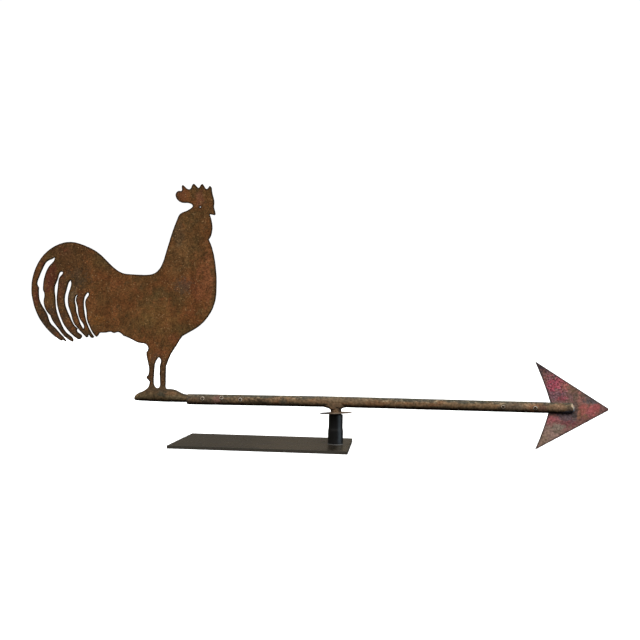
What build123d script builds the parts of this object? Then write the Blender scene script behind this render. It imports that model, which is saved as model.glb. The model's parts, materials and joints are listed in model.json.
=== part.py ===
from build123d import *
import os
from math import asin, cos, radians, sin

# Cockerel weather vane on a low display stand, built piece by piece.
# Millimetres.  +Z is up.  The origin is on the spin axis, at the underside of the base plate.
# +X runs along the arrow pipe towards the arrow's point, and the cockerel stands on the -X side.
# -Y is the front, the side with the rivet heads.
# A height written "over the plate" starts at the plate's top.  Outlines are (X, height): the
# arrowhead's heights start at the pipe's axis, and those of the cockerel and its foot block at
# the foot line, which is about where the drooping end of the pipe has its axis.

# ---------- driving dimensions ----------
PIPE_OD = 21.3              # half-inch steel pipe, used for the arrow and for its neck
PIPE_WALL = 2.77
PIPE_LEFT = -309.5
PIPE_RIGHT = 471.0
PIPE_AXIS_OVER_PLATE = 85.85
PIPE_DROOP = 0.58           # degrees, the pipe's cockerel end sags from the neck outwards
BEND_RADIUS = 3000.0        # of the pipe's axis over the neck
FOOT_LINE_OVER_PLATE = 83.0
SHEET = 3.0                 # plate of the cockerel and of the arrowhead

PLATE_LENGTH = 353.0
PLATE_WIDTH = 203.0
PLATE_THICKNESS = 6.35
PLATE_RIGHT = 30.3          # from the spin axis to the plate's edge on the arrow side

POST_TOP_OD = 28.6
POST_FOOT_OD = 30.9
POST_BORE = 22.0
POST_STEP = 30.0            # height over the plate where the post grows thicker
POST_TOP = 60.6             # height over the plate of the post's top

SHIELD_OD = 65.4
SHIELD_THICKNESS = 1.8
SHIELD_OVER_PLATE = 63.2
SHIELD_TILT = 3.3           # degrees, the arrow side is the high one
SHIELD_PITCH = 2.4          # degrees, the front is higher than the back

BALL_OD = 12.0
RUNNING_CLEARANCE = 0.05    # radial, stem in its bushes

RIVET_SHANK_OD = 4.8
RIVET_HEAD_OD = 9.0
RIVET_HOLE_OD = 2.8
FOOT_RIVETS = ((-275.2, 2.8), (-235.7, 5.0), (-196.5, 2.0))     # X, height over the pipe's axis
ARROW_RIVETS = ((334.4, -0.4), (397.2, -0.7))

# ---------- sizes worked out from them ----------
PIPE_BORE = PIPE_OD - 2 * PIPE_WALL
PIPE_R = PIPE_OD / 2
AXIS_Z = PLATE_THICKNESS + PIPE_AXIS_OVER_PLATE
FOOT_Z = PLATE_THICKNESS + FOOT_LINE_OVER_PLATE
STEM_OD = PIPE_BORE
EYE_HOLE_OD = 3.0


def over_plate(height):
    """Z of a height over the plate's top."""
    return PLATE_THICKNESS + height


def over_foot(height):
    """Z of a height over the foot line."""
    return FOOT_Z + height


# ---------- helpers ----------
def upright(radius, low, high):
    """Cylinder on the spin axis between two Z values."""
    return Pos(0, 0, low) * Cylinder(radius, high - low, align=(Align.CENTER, Align.CENTER, Align.MIN))


def lengthwise(radius, left, right):
    """Cylinder on the pipe's axis between two X values."""
    bar = Cylinder(radius, right - left, align=(Align.CENTER, Align.CENTER, Align.MIN))
    return Pos(left, 0, AXIS_Z) * Rot(0, 90, 0) * bar


def pipe_run(radius, left, right):
    """Round bar that follows the pipe's axis from one side of the neck to the other, bend and all."""
    droop = radians(PIPE_DROOP)
    start = (left * cos(droop), 0, AXIS_Z + left * sin(droop))
    path = FilletPolyline(start, (0, 0, AXIS_Z), (right, 0, AXIS_Z), radius=BEND_RADIUS)
    section = Plane(origin=start, z_dir=path % 0) * Circle(radius)
    return sweep(section, path)


def drooping(piece):
    """Tilt a piece of the straight pipe's left half about the hub to where the pipe really lies."""
    return Pos(0, 0, AXIS_Z) * Rot(0, -PIPE_DROOP, 0) * Pos(0, 0, -AXIS_Z) * piece


def turned(*profile):
    """Piece turned about the spin axis from (radius, Z) corners."""
    return revolve(Plane.XZ * make_face(Polyline(*profile, close=True)), Axis.Z)


def closed_face(strokes):
    """Face inside a run of strokes.  Each stroke starts where the one before it ended."""
    edges = []
    here = strokes[-1][1][-1]
    for kind, points in strokes:
        path = [here] + list(points)
        edges.append(Polyline(*path) if kind == "line" else Spline(*path))
        here = points[-1]
    return make_face(edges)


def sheet_piece(face, datum_z):
    """Upright sheet, SHEET thick, from a face whose heights start at datum_z."""
    return Pos(0, 0, datum_z) * extrude(Plane.XZ * face, SHEET / 2, both=True)


def rivet_places(places):
    """Frames on the front of the pipe, one per rivet, with local +Z pointing out of the pipe."""
    frames = []
    for x, height in places:
        lift = asin(height / PIPE_R)
        outward = (0, -cos(lift), sin(lift))
        foot = (x, PIPE_R * outward[1], AXIS_Z + PIPE_R * outward[2])
        frames.append(Plane(origin=foot, x_dir=(1, 0, 0), z_dir=outward))
    return frames


# ---------- outlines, (X, height) ----------
LEGS_AND_BREAST = (
    ("line", ((-356, 2), (-356.6, 24), (-356.8, 67))),
    ("curve", ((-353.3, 77), (-346.2, 94), (-337, 108.5), (-329.5, 121.5), (-323.5, 130.5))),
    ("curve", ((-308, 139.5), (-288, 152.5), (-271, 171), (-258, 197), (-253.7, 230),
               (-256, 270), (-263.5, 309), (-272.6, 332.5))),
)
HEAD = (
    ("curve", ((-267.5, 343), (-265.7, 355.5), (-267.6, 371), (-271.8, 384))),
    ("line", ((-271.1, 385.7), (-261.1, 383.6), (-260, 385))),
    ("curve", ((-260.9, 391), (-263.5, 401), (-263, 410), (-265.2, 421), (-268.2, 432), (-269, 439.8))),
    ("curve", ((-270.3, 442.2), (-272.9, 444.2))),
    ("curve", ((-275.6, 441), (-279.3, 437.6), (-283, 440.3), (-286.2, 445), (-288.7, 448.1))),
    ("curve", ((-291, 447), (-294, 442.7), (-296.6, 440), (-299, 441.3), (-303.5, 445.8), (-307, 448.7))),
    ("curve", ((-309.2, 447.2), (-312.4, 440.5), (-315.4, 437.2))),
    ("curve", ((-318.4, 437.1), (-325.4, 441.7), (-330.1, 445.9))),
    ("curve", ((-332, 444.4), (-332.2, 440), (-331.7, 436))),
    ("curve", ((-333.3, 433.6), (-337.5, 433.6), (-342.5, 431.4), (-345.1, 425.5), (-343.3, 418.8),
               (-337, 411.8), (-328, 409), (-313.2, 407.6), (-308, 402.4), (-312.5, 396.7),
               (-323.4, 390.8), (-331.8, 387.2), (-337, 382))),
)
BACK_AND_TAIL = (
    ("curve", ((-343, 367), (-356.5, 325), (-364, 298), (-373.5, 273), (-385, 260.8), (-403, 256.7),
               (-430, 257.2), (-455, 260), (-475, 272), (-510, 303), (-540, 317.6), (-566, 324),
               (-598, 317.5), (-631, 291), (-647, 259), (-652, 226), (-648, 199), (-636, 167.5),
               (-617, 141.5), (-598, 124.5), (-584, 115.4))),
    ("curve", ((-579, 116.8), (-574.3, 114.2), (-572, 113.7))),
)
FIRST_GAP = (
    ("curve", ((-576.5, 120), (-587, 130), (-599, 142.7), (-609, 151.8), (-615.5, 168), (-624, 182.3),
               (-634, 200.5), (-636, 214), (-636.2, 227.5))),
    ("curve", ((-640, 235.5), (-638.2, 244), (-629, 267), (-618.5, 283.3), (-608, 288.5), (-603.5, 291.3))),
    ("curve", ((-602.8, 288.6), (-611.3, 275.7), (-620.5, 260.5), (-625.6, 241), (-626.3, 221))),
    ("curve", ((-622.8, 210.5), (-624.2, 199.5), (-621.7, 186), (-608.6, 168))),
    ("curve", ((-604.5, 158.5), (-593, 143.5), (-573.5, 122), (-559.2, 113.7))),
)
SECOND_GAP = (
    ("curve", ((-557.6, 117), (-561, 123.3), (-570.5, 130), (-586.5, 153.5), (-597, 181.5), (-600, 208),
               (-601, 231), (-595, 246.7), (-589.8, 260.3), (-585.5, 261.5))),
    ("curve", ((-583.8, 259), (-588.3, 252.5), (-593.8, 233), (-595.7, 199), (-589.5, 173.5),
               (-579, 150), (-565, 133), (-548.7, 120.2))),
)
THIRD_GAP = (
    ("curve", ((-540, 122.6), (-539.6, 127.5), (-544.5, 131.3), (-549.4, 142.2))),
    ("curve", ((-556.5, 148), (-565, 162.5), (-571.3, 175), (-578, 193), (-578.6, 210), (-574.5, 227),
               (-570, 240.5), (-566.8, 243.6))),
    ("curve", ((-565.4, 240), (-566.3, 228), (-570.2, 215), (-571.5, 202), (-568.6, 184.5),
               (-564.4, 174), (-560.5, 161), (-548.6, 143.4))),
    ("curve", ((-547, 141.2), (-538, 132), (-529.4, 123.8))),
)
FOURTH_FEATHER = (
    ("curve", ((-526.6, 124.4), (-525.6, 129.3))),
    ("curve", ((-522.6, 128), (-520, 124.3), (-515.8, 122.4), (-513, 125.3))),
)
FIFTH_GAP = (
    ("curve", ((-519.5, 134.3), (-529, 153), (-534.2, 171), (-537.2, 195), (-535, 209.5), (-529, 218))),
    ("curve", ((-526.2, 215.8), (-531.8, 204), (-533.2, 192), (-530.3, 177), (-528.8, 162),
               (-522.5, 146.5), (-513, 130.5), (-507.5, 125.3))),
)
BELLY_AND_REAR_LEG = (
    ("curve", ((-503.8, 129), (-501, 133.3), (-492, 134.2), (-482, 135.8), (-475, 136), (-470, 134.1),
               (-463.5, 136), (-454, 133.3), (-449, 128.8))),
    ("curve", ((-432, 122), (-415, 114.6), (-401, 112.1), (-396.4, 107.5), (-398.9, 95))),
    ("curve", ((-396, 78), (-392.6, 52), (-394, 47))),
    ("curve", ((-397.4, 42.8), (-391.4, 35.4), (-391.3, 28))),
    ("line", ((-392, 18), (-394, 14), (-394, 2))),
)
FOURTH_GAP = (
    ("curve", ((-556.4, 198), (-554.2, 188), (-553.2, 179), (-549, 166.5), (-538.5, 143.7), (-536, 141))),
    ("curve", ((-535, 143), (-543.5, 161), (-548.8, 178), (-550.4, 189), (-553.6, 199), (-550.9, 211.4))),
    ("line", ((-553.3, 212.3),)),
)
LEG_GAP = (
    ("line", ((-382.3, 40), (-382, 17), (-368, 17), (-368, 28.6), (-369.5, 50), (-369.6, 63))),
    ("curve", ((-368.7, 70.5), (-367.4, 77.5), (-369.4, 82.8), (-372.4, 84.9), (-374.8, 82.8), (-377.6, 78.4),
               (-381, 70))),
)
EYE = (-292.2, 400.3)

# The braze round the legs: its outline from the front, and its half width by height.
BRAZE_FRONT = (
    ("curve", ((-397.5, 17.7), (-393.0, 22.4), (-391.1, 27), (-390.9, 33))),
    ("line", ((-382, 33),)),
    ("curve", ((-380.5, 25.8), (-377.5, 22.1), (-374.2, 20.7), (-370.9, 21.8), (-368.5, 25), (-368, 33))),
    ("line", ((-356.7, 33), (-356.6, 23))),
    ("curve", ((-355.8, 20.6), (-353, 19.2))),
    ("line", ((-353, 12), (-404, 12))),
)
BRAZE_ACROSS = ((7.8, 12), (5.0, 17.5), (3.1, 22.5), (2.1, 28), (1.7, 33))

ARROW_TIP = (544.1, -0.25)
ARROW_TIP_RADIUS = 2.8
UPPER_BARB = (397.2, 92.0)
UPPER_INNER = (421.0, 34.3)     # halfway down the barb's hollow inner edge
UPPER_NOTCH = (429.6, 7.6)      # where the barbs' inner edges run into the tang
LOWER_BARB = (400.4, -84.0)
LOWER_INNER = (416.1, -41.6)
LOWER_NOTCH = (426.0, -7.6)
BARB_RADIUS = 0.55
TANG_LEFT = 324.0

# Foot block stations: X, top, bottom (over the foot line), half width.
FOOT_STATIONS = (
    (-421.2, 1.8, -3.6, 3.8),
    (-419.9, 4.8, -4.9, 6.4),
    (-416.9, 7.6, -5.4, 7.8),
    (-411.5, 10.8, -5.8, 9.0),
    (-403.0, 14.1, -6.1, 10.0),
    (-390.0, 17.7, -6.4, 10.5),
    (-374.0, 19.9, -6.7, 10.6),
    (-355.0, 19.8, -6.8, 10.5),
    (-344.3, 19.6, -6.8, 10.4),
    (-332.3, 16.9, -6.7, 10.3),
    (-322.0, 12.1, -6.5, 10.0),
    (PIPE_LEFT, 9.8, -6.3, 9.8),
)
FOOT_TANG_RIGHT = -186.0


# ---------- stand ----------
SCREW_SHANK_OD = 8.0
SCREW_HOLE_OD = 8.6
SCREW_HEAD_OD = 16.4
SCREW_HEAD_HEIGHT = 4.4
SCREW_HEAD_SINK = 0.35
SCREW_TOP = 10.5            # over the plate
WASHER_OD = 32.6
WASHER_THICKNESS = 0.9
PLUG_TOP = 16.0             # over the plate
SEAT_R = 4.5                # mouth of the ball's 90 degree seat
BUSH_LENGTH = 12.0
LOWER_BUSH = 28.0           # over the plate
UPPER_BUSH = POST_TOP - BUSH_LENGTH - 0.6


def make_base_plate():
    """Flat steel plate with a countersunk hole under the post."""
    centre = PLATE_RIGHT - PLATE_LENGTH / 2
    plate = Pos(centre, 0, PLATE_THICKNESS / 2) * Box(PLATE_LENGTH, PLATE_WIDTH, PLATE_THICKNESS)
    plate = fillet(plate.edges().filter_by(Axis.Z), 1.0)
    plate = chamfer(plate.faces().sort_by(Axis.Z)[-1].edges(), 0.4)
    hole_r = SCREW_HOLE_OD / 2
    mouth_r = SCREW_HEAD_OD / 2 + 0.3
    sink = turned((0, -1), (mouth_r, -1), (mouth_r, SCREW_HEAD_SINK),
                  (hole_r, SCREW_HEAD_SINK + SCREW_HEAD_HEIGHT), (hole_r, PLATE_THICKNESS + 1),
                  (0, PLATE_THICKNESS + 1))
    return plate - sink


def make_base_screw():
    """Countersunk socket screw that holds the post from below."""
    head_r = SCREW_HEAD_OD / 2
    shank_r = SCREW_SHANK_OD / 2
    top = over_plate(SCREW_TOP)
    head_top = SCREW_HEAD_SINK + SCREW_HEAD_HEIGHT
    screw = turned((0, SCREW_HEAD_SINK), (head_r, SCREW_HEAD_SINK), (shank_r, head_top),
                   (shank_r, top - 0.8), (shank_r - 0.8, top), (0, top))
    socket_depth = 2.8
    socket = extrude(Pos(0, 0, SCREW_HEAD_SINK) * RegularPolygon(2.9, 6), socket_depth)
    return screw - socket


def make_foot_washer():
    """Plain washer between the post and the plate."""
    ring = upright(WASHER_OD / 2, over_plate(0), over_plate(WASHER_THICKNESS))
    return ring - upright(SCREW_HOLE_OD / 2, over_plate(-1), over_plate(WASHER_THICKNESS + 1))


def make_post_tube():
    """Turned black post, thicker below the step, rounded over at the top."""
    top_r = POST_TOP_OD / 2
    foot_r = POST_FOOT_OD / 2
    round_over = 1.6
    foot_z = over_plate(WASHER_THICKNESS)
    top_z = over_plate(POST_TOP)
    profile = [
        Line((POST_BORE / 2, foot_z), (foot_r, foot_z)),
        Line((foot_r, foot_z), (foot_r - 0.15, over_plate(POST_STEP - 2))),
        Line((foot_r - 0.15, over_plate(POST_STEP - 2)), (top_r - 0.2, over_plate(POST_STEP + 1.5))),
        Line((top_r - 0.2, over_plate(POST_STEP + 1.5)), (top_r, top_z - round_over)),
        RadiusArc((top_r, top_z - round_over), (top_r - round_over, top_z), -round_over),
        Line((top_r - round_over, top_z), (POST_BORE / 2, top_z)),
        Line((POST_BORE / 2, top_z), (POST_BORE / 2, foot_z)),
    ]
    return revolve(Plane.XZ * make_face(profile), Axis.Z)


def make_foot_plug():
    """Plug pressed into the post's foot: the screw goes in below, the ball sits in the seat above."""
    plug = upright(POST_BORE / 2, over_plate(WASHER_THICKNESS), over_plate(PLUG_TOP))
    tapped = upright(SCREW_SHANK_OD / 2, over_plate(0), over_plate(SCREW_TOP))
    seat = turned((0, over_plate(PLUG_TOP - SEAT_R)), (SEAT_R, over_plate(PLUG_TOP)),
                  (0, over_plate(PLUG_TOP)))
    return plug - tapped - seat


def ball_centre_over_plate():
    """Height of the ball when it touches the 90 degree seat all round."""
    contact_r = BALL_OD / 2 * cos(radians(45))
    return PLUG_TOP - (SEAT_R - contact_r) + contact_r


def make_thrust_ball():
    return Pos(0, 0, over_plate(ball_centre_over_plate())) * Sphere(BALL_OD / 2)


def make_bush(bottom):
    """Plain bearing bush, its bottom at a height over the plate."""
    ring = upright(POST_BORE / 2, over_plate(bottom), over_plate(bottom + BUSH_LENGTH))
    bore = upright(STEM_OD / 2 + RUNNING_CLEARANCE, over_plate(bottom - 1), over_plate(bottom + BUSH_LENGTH + 1))
    ring = ring - bore
    return chamfer(ring.edges().filter_by(GeomType.CIRCLE).group_by(SortBy.RADIUS)[0], 0.5)


# ---------- hub of the vane ----------
STUB_BOTTOM = 61.2          # over the plate
COPE_END = 2.5              # below the pipe's axis, where the neck's coped sides stop
STEM_TOP_GAP = 0.25
BALL_FILM = 0.05            # under the stem's end
LEFT_FLARE = (28.3, 7.2)    # reach along the pipe, depth below it
RIGHT_FLARE = (21.0, 4.8)
WELD_HALF_WIDTH = 12.2


def make_hub_stub():
    """Neck of the same pipe, its top coped to fit round the arrow pipe."""
    neck = upright(PIPE_R, over_plate(STUB_BOTTOM), AXIS_Z - COPE_END)
    neck = neck - upright(PIPE_BORE / 2, 0, AXIS_Z + 1)
    return neck - pipe_run(PIPE_R, -50, 50)


def make_pivot_stem():
    """Solid spindle pressed up the neck, which turns in the post and stands on the ball."""
    bottom = over_plate(ball_centre_over_plate() + BALL_OD / 2 + BALL_FILM)
    stem = upright(STEM_OD / 2, bottom, AXIS_Z - PIPE_R - STEM_TOP_GAP)
    return chamfer(stem.faces().sort_by(Axis.Z)[0].edges(), 1.2)


def on_shield(height):
    """Place on the rain shield's tilted axis, height over its middle."""
    tilted = Rot(-SHIELD_PITCH, -SHIELD_TILT, 0)
    return Pos(0, 0, over_plate(SHIELD_OVER_PLATE)) * tilted * Pos(0, 0, height)


def make_rain_shield():
    """Round plate on the neck that keeps rain out of the post, fitted a little askew."""
    disc = Cylinder(SHIELD_OD / 2, SHIELD_THICKNESS)
    disc = fillet(disc.edges(), 0.6)
    return on_shield(0) * disc - upright(PIPE_R, 0, AXIS_Z)


def flare(side, reach, depth):
    """Concave weld between the neck and the pipe on one side, hugging the round of both."""
    outer = (side * reach, -PIPE_R)
    inner = (side * PIPE_R, -PIPE_R - depth)
    bend = (side * (PIPE_R + 0.24 * (reach - PIPE_R)), -PIPE_R - 0.44 * depth)
    profile = [
        Line((0, 0), (side * reach, 0)),
        Line((side * reach, 0), outer),
        Spline(outer, bend, inner, tangents=((-side, -0.15), (-side * 0.1, -1))),
        Line(inner, (0, -PIPE_R - depth)),
        Line((0, -PIPE_R - depth), (0, 0)),
    ]
    spool = revolve(Plane.XZ * make_face(profile), Axis.X)
    plan = Ellipse(reach, WELD_HALF_WIDTH) & Pos(side * reach / 2, 0) * Rectangle(reach, 4 * PIPE_R)
    lower = extrude(Pos(0, 0, -30) * plan, 30 - 2.5)
    return Pos(0, 0, AXIS_Z) * (spool & lower)


def make_hub_weld():
    """Weld all round the joint of neck and pipe, longer on the cockerel's side."""
    weld = flare(-1, *LEFT_FLARE) + flare(1, *RIGHT_FLARE)
    return weld - pipe_run(PIPE_R, -50, 50) - upright(PIPE_R, 0, AXIS_Z)


def make_shield_weld():
    """Thin bead where the neck goes through the rain shield."""
    bead = Cone(PIPE_R + 1.9, PIPE_R + 0.2, 1.7, align=(Align.CENTER, Align.CENTER, Align.MIN))
    return on_shield(SHIELD_THICKNESS / 2) * bead - upright(PIPE_R, 0, AXIS_Z)


# ---------- arrow pipe and what is fixed in its ends ----------
SAW_CUT_LEFT = 423.5
CORE_LEFT = 316.0
CORE_RIGHT = 476.4
ARROW_RIVET_LENGTH = 17.0   # below the head, through the pipe's wall, the core and the tang
BULB_OD = 6.4               # the rivet's set end, behind the tang
BULB_ROOM = 5.0


def make_arrow_pipe():
    """Long pipe, rounded over at the cockerel's end and sawn down the middle for the arrowhead."""
    pipe = pipe_run(PIPE_R, PIPE_LEFT, PIPE_RIGHT)
    pipe = fillet(pipe.faces().sort_by(Axis.X)[0].edges(), 2.3)
    pipe = fillet(pipe.faces().sort_by(Axis.X)[-1].edges(), 1.2)
    pipe = pipe - pipe_run(PIPE_BORE / 2, PIPE_LEFT - 1, PIPE_RIGHT + 1)
    saw_length = PIPE_RIGHT + 1 - SAW_CUT_LEFT
    pipe = pipe - Pos(SAW_CUT_LEFT + saw_length / 2, 0, AXIS_Z) * Box(saw_length, SHEET, 2 * PIPE_OD)
    for frame in rivet_places(ARROW_RIVETS):
        pipe = pipe - frame * Cylinder(RIVET_SHANK_OD / 2, 2 * PIPE_R)
    for frame in rivet_places(FOOT_RIVETS):
        pipe = pipe - drooping(frame * Cylinder(RIVET_SHANK_OD / 2, 2 * PIPE_R))
    return pipe


def make_arrow_core():
    """Slotted bar in the pipe that grips the arrowhead's tang; its round end pokes out."""
    core = lengthwise(PIPE_BORE / 2, CORE_LEFT, CORE_RIGHT)
    core = fillet(core.faces().sort_by(Axis.X)[-1].edges(), 5.0)
    slot_length = CORE_RIGHT + 1 - TANG_LEFT
    core = core - Pos(TANG_LEFT + slot_length / 2, 0, AXIS_Z) * Box(slot_length, SHEET, PIPE_OD)
    for frame in rivet_places(ARROW_RIVETS):
        core = core - frame * Cylinder(RIVET_SHANK_OD / 2, 2 * PIPE_R)
        pocket_depth = PIPE_R + SHEET / 2 + BULB_ROOM
        core = core - frame * Pos(0, 0, -pocket_depth) * Cylinder(
            BULB_OD / 2, pocket_depth - PIPE_R, align=(Align.CENTER, Align.CENTER, Align.MIN))
    return core


def make_arrowhead():
    """Flat barbed head with a tang that reaches down the pipe to the rivets."""
    outline = [
        Polyline(LOWER_BARB, ARROW_TIP, UPPER_BARB),
        ThreePointArc(UPPER_BARB, UPPER_INNER, UPPER_NOTCH),
        Polyline(UPPER_NOTCH, (TANG_LEFT, UPPER_NOTCH[1]), (TANG_LEFT, LOWER_NOTCH[1]), LOWER_NOTCH),
        ThreePointArc(LOWER_NOTCH, LOWER_INNER, LOWER_BARB),
    ]
    head = sheet_piece(make_face(outline), AXIS_Z)
    corners = head.edges().filter_by(Axis.Y).sort_by(Axis.X)
    barbs = [edge for edge in corners if abs(edge.center().Z - AXIS_Z) > PIPE_OD]
    head = fillet(barbs, BARB_RADIUS)
    tip = head.edges().filter_by(Axis.Y).sort_by(Axis.X)[-1]
    head = fillet(tip, ARROW_TIP_RADIUS)
    for frame in rivet_places(ARROW_RIVETS):
        head = head - frame * Cylinder(RIVET_SHANK_OD / 2, 4 * PIPE_R)
    return head


def make_rivet(length, bulb):
    """Blind rivet with its head at local zero, hollow where the mandrel snapped off."""
    head_r = RIVET_HEAD_OD / 2
    shank_r = RIVET_SHANK_OD / 2
    profile = [
        Line((0, -length), (shank_r, -length)),
        Line((shank_r, -length), (shank_r, -1.2)),
        Line((shank_r, -1.2), (head_r, -1.2)),
        Line((head_r, -1.2), (head_r, 0.25)),
        Spline((head_r, 0.25), (head_r - 1.2, 1.1), (RIVET_HOLE_OD / 2, 1.5)),
        Line((RIVET_HOLE_OD / 2, 1.5), (0, 1.5)),
        Line((0, 1.5), (0, -length)),
    ]
    rivet = revolve(Plane.XZ * make_face(profile), Axis.Z)
    if bulb:
        rivet = rivet + Pos(0, 0, -length + 1.6) * Cylinder(BULB_OD / 2, 3.2)
    return rivet - Pos(0, 0, -length / 2 + 2) * Cylinder(RIVET_HOLE_OD / 2, length + 4.1)


def make_mandrel(length):
    """What is left of the rivet's mandrel: a rod that stops below the head."""
    stub_top = -2.0
    rod = Pos(0, 0, -length) * Cylinder(RIVET_HOLE_OD / 2, length + stub_top,
                                        align=(Align.CENTER, Align.CENTER, Align.MIN))
    return rod


def rivets(places, length, bulb):
    """One rivet at each place, its head dished to sit on the round of the pipe."""
    pipe = lengthwise(PIPE_R, PIPE_LEFT - 10, PIPE_RIGHT + 10)
    hollow_pipe = pipe - lengthwise(PIPE_R - 1.5, PIPE_LEFT - 11, PIPE_RIGHT + 11)
    done = []
    for frame in rivet_places(places):
        hole = frame * Cylinder(RIVET_SHANK_OD / 2, 4)
        done.append((frame * make_rivet(length, bulb)) - (hollow_pipe - hole))
    return done


def mandrels(places, length):
    """One mandrel in each rivet."""
    return [frame * make_mandrel(length) for frame in rivet_places(places)]


def group(solids):
    """Identical fasteners as one piece of separate solids."""
    return Compound(children=solids)


# ---------- cockerel and its foot ----------
FOOT_RIVET_LENGTH = 10.0


def make_rooster():
    """Cockerel cut from sheet, with gaps between the tail feathers and a tab below the legs."""
    body = closed_face(LEGS_AND_BREAST + HEAD + BACK_AND_TAIL + FIRST_GAP + SECOND_GAP + THIRD_GAP
                       + FOURTH_FEATHER + FIFTH_GAP + BELLY_AND_REAR_LEG)
    for hole in (FOURTH_GAP, LEG_GAP):
        body = body - closed_face(hole)
    body = body - Pos(*EYE) * Circle(EYE_HOLE_OD / 2)
    return sheet_piece(body, FOOT_Z)


def make_foot_block(rooster):
    """Cast foot: a low mound that holds the legs, and a round tang in the pipe's bore."""
    sections = []
    for x, top, bottom, half_width in FOOT_STATIONS:
        station = Plane(origin=(x, 0, over_foot((top + bottom) / 2)), x_dir=(0, 1, 0), z_dir=(1, 0, 0))
        sections.append(station * Ellipse(half_width, (top - bottom) / 2))
    mound = loft(sections) - drooping(lengthwise(PIPE_OD, PIPE_LEFT, FOOT_TANG_RIGHT))
    block = mound + drooping(lengthwise(PIPE_BORE / 2, PIPE_LEFT, FOOT_TANG_RIGHT))
    for frame in rivet_places(FOOT_RIVETS):
        block = block - drooping(frame * Cylinder(RIVET_SHANK_OD / 2, 2 * FOOT_RIVET_LENGTH))
    return block - rooster


def make_foot_braze(rooster, foot_block):
    """Braze that fills the corners between the legs and the mound, thinning out up the legs."""
    front = Plane.XZ * closed_face(BRAZE_FRONT)
    widest = BRAZE_ACROSS[0][0]
    top = BRAZE_ACROSS[-1][1]
    mirrored = [(-half, height) for half, height in reversed(BRAZE_ACROSS)]
    across = Plane.YZ * make_face([
        Spline(*BRAZE_ACROSS),
        Line(BRAZE_ACROSS[-1], (-BRAZE_ACROSS[-1][0], top)),
        Spline(*mirrored),
        Line(mirrored[-1], BRAZE_ACROSS[0]),
    ])
    middle = (BRAZE_FRONT[-1][1][0][0] + BRAZE_FRONT[-1][1][-1][0]) / 2
    braze = extrude(front, widest, both=True) & Pos(middle, 0, 0) * extrude(across, 40, both=True)
    return Pos(0, 0, FOOT_Z) * braze - rooster - foot_block


# ---------- build and write ----------
rooster = make_rooster()
foot_block = make_foot_block(rooster)
pieces = {
    "base_plate": make_base_plate(),
    "base_screw": make_base_screw(),
    "foot_washer": make_foot_washer(),
    "post_tube": make_post_tube(),
    "foot_plug": make_foot_plug(),
    "thrust_ball": make_thrust_ball(),
    "lower_bush": make_bush(LOWER_BUSH),
    "upper_bush": make_bush(UPPER_BUSH),
    "pivot_stem": make_pivot_stem(),
    "hub_stub": make_hub_stub(),
    "hub_weld": make_hub_weld(),
    "rain_shield": make_rain_shield(),
    "shield_weld": make_shield_weld(),
    "arrow_pipe": make_arrow_pipe(),
    "arrow_core": make_arrow_core(),
    "arrowhead": make_arrowhead(),
    "arrow_rivets": group(rivets(ARROW_RIVETS, ARROW_RIVET_LENGTH, True)),
    "arrow_rivet_mandrels": group(mandrels(ARROW_RIVETS, ARROW_RIVET_LENGTH)),
    "foot_rivets": group([drooping(solid) for solid in rivets(FOOT_RIVETS, FOOT_RIVET_LENGTH, False)]),
    "foot_rivet_mandrels": group([drooping(solid) for solid in mandrels(FOOT_RIVETS, FOOT_RIVET_LENGTH)]),
    "rooster": rooster,
    "foot_block": foot_block,
    "foot_braze": make_foot_braze(rooster, foot_block),
}

os.makedirs("parts", exist_ok=True)
for name, piece in pieces.items():
    export_step(piece, f"parts/{name}.step")
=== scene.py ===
"""Cockerel weather vane on a display stand: its looks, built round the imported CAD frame.

Metres, in the CAD's own frame: +X towards the arrow's point, -Y the front, +Z up, and the origin on
the spin axis at the underside of the base plate.  Sizes named here in millimetres go through MM.
"""

import json
from math import ceil, cos, pi, radians, sin, sqrt

import bmesh
import bpy
import numpy as np
from mathutils import Matrix, Vector, kdtree, noise
from mathutils.geometry import delaunay_2d_cdt


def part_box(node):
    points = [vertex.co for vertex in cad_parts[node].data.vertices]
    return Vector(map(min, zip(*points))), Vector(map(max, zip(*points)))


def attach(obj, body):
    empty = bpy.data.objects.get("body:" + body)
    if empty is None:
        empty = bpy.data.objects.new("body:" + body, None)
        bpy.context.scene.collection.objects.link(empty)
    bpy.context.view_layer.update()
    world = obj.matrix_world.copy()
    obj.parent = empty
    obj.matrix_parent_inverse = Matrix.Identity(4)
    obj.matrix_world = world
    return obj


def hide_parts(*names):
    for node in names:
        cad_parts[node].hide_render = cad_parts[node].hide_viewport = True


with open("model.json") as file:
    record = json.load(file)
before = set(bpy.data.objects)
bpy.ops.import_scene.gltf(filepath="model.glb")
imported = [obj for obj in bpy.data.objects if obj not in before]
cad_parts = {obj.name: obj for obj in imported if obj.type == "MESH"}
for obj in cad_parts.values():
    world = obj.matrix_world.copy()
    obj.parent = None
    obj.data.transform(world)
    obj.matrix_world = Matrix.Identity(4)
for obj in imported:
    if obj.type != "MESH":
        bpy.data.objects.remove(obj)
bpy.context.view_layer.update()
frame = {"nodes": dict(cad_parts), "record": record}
NODES = frame["nodes"]
MM = 0.001

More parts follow.
